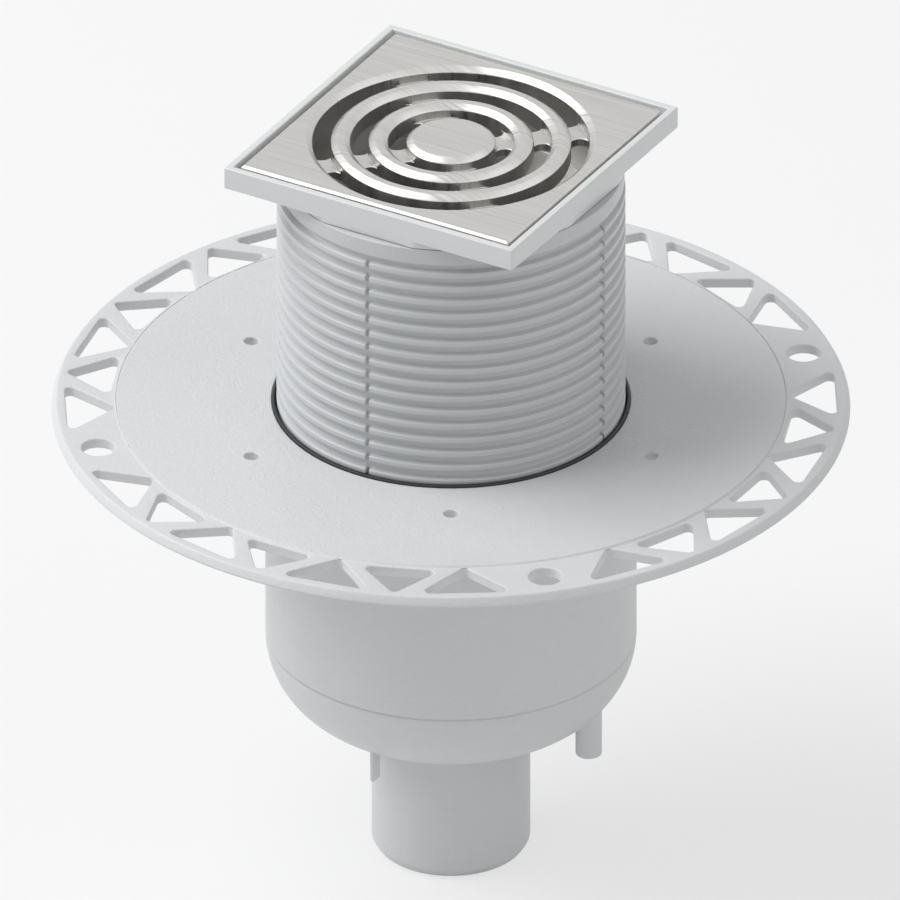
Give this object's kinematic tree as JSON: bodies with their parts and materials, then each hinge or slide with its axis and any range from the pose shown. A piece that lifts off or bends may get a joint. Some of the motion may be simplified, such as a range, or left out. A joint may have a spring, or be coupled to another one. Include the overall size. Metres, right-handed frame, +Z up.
{
  "type": "floor drain",
  "caption": "Floor drain with vertical outlet: pot with openwork flange, ribbed riser that slides and turns to level, square slotted grate, hair sieve and bell trap.",
  "frame": {"origin": "centre of the outlet spigot's open end, at the bottom of the part", "axes": "+Z up along the outlet, pot and riser axis; X and Y run along the sides of the square frame"},
  "size_m": [0.252, 0.252, 0.2553],
  "materials": {
    "pot_plastic": "moulded polypropylene, light grey",
    "riser_plastic": "moulded ABS, light grey",
    "frame_plastic": "moulded ABS, light grey, fine gloss",
    "grate_steel": "cast stainless steel, satin",
    "sieve_steel": "pressed stainless sheet",
    "trap_plastic": "moulded polypropylene, grey",
    "seal_rubber": "black rubber"
  },
  "bodies": {
    "pot_body": {"pot": "pot_plastic", "riser_seal": "seal_rubber", "trap_pipe": "trap_plastic", "trap_ring": "seal_rubber", "bell": "trap_plastic"},
    "riser_body": {"riser": "riser_plastic"},
    "frame_body": {"frame": "frame_plastic", "frame_ring": "seal_rubber", "sieve": "sieve_steel"},
    "grate_body": {"grate": "grate_steel"}
  },
  "joints": [
    {"name": "riser_height", "type": "slide", "parent": "pot_body", "child": "riser_body", "axis": [0, 0, 1], "range_m": [-0.04, 0.015]},
    {"name": "frame_turn", "type": "hinge", "parent": "riser_body", "child": "frame_body", "pos_m": [0, 0, 0.2457], "axis": [0, 0, 1], "continuous": true},
    {"name": "grate_lift", "type": "slide", "parent": "frame_body", "child": "grate_body", "axis": [0, 0, 1], "range_m": [0, 0.04]}
  ]
}
